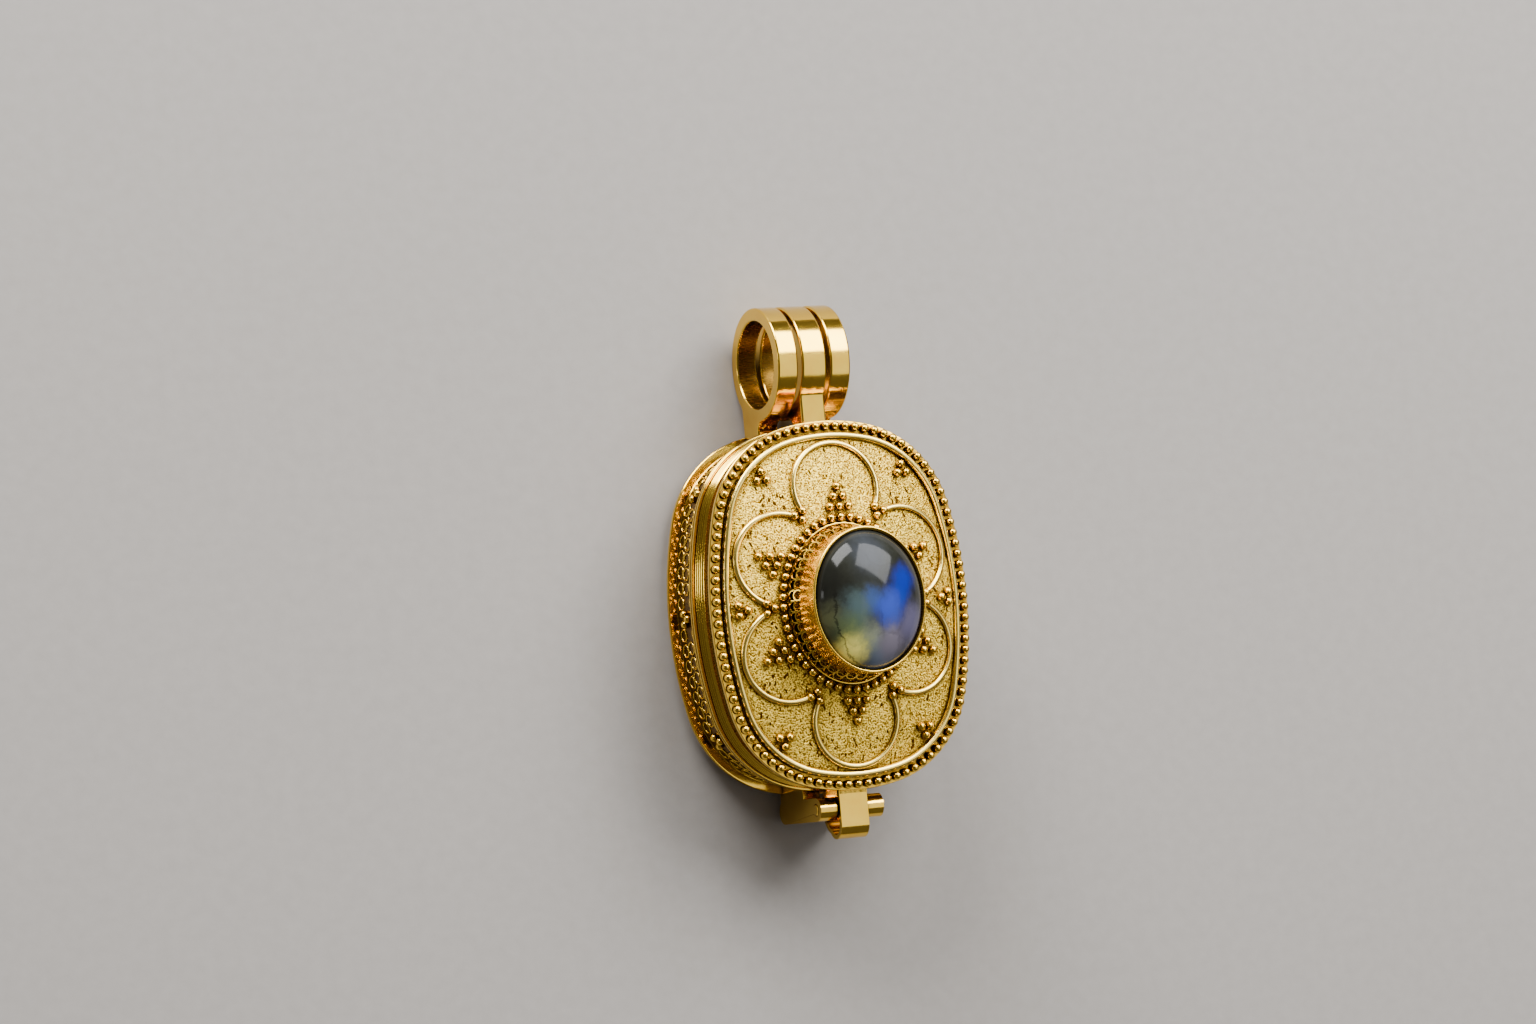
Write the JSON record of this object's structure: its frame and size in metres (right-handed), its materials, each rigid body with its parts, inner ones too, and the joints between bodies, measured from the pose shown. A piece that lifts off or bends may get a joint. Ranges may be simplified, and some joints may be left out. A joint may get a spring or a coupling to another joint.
{
  "type": "locket pendant",
  "caption": "Cushion-shaped gold locket pendant with a granulated rosette lid, an oval stone in a tall bezel, a hinged lid and a ring bail shared by both halves.",
  "frame": {"origin": "middle of the case, on the flat back face that it rests on", "axes": "+X points to the wearer's left along the bail's and the hinge's axes, +Y points from the case to the bail, +Z comes out of the lid"},
  "size_m": [0.0244, 0.0467, 0.0189],
  "materials": {
    "gold": "polished",
    "stone": "polished labradorite"
  },
  "bodies": {
    "case": {"back_case": "gold", "left_bail_ring": "gold", "right_bail_ring": "gold", "left_hinge_ear": "gold", "right_hinge_ear": "gold", "hinge_pin": "gold"},
    "lid": {"front_lid": "gold", "middle_bail_ring": "gold", "hinge_strap": "gold", "bezel": "gold", "cabochon": "stone"}
  },
  "joints": [
    {"name": "lid_hinge", "type": "hinge", "parent": "case", "child": "lid", "pos_m": [0, -0.01742, 0.00837], "axis": [1, 0, 0], "range_deg": [0, 100]}
  ]
}
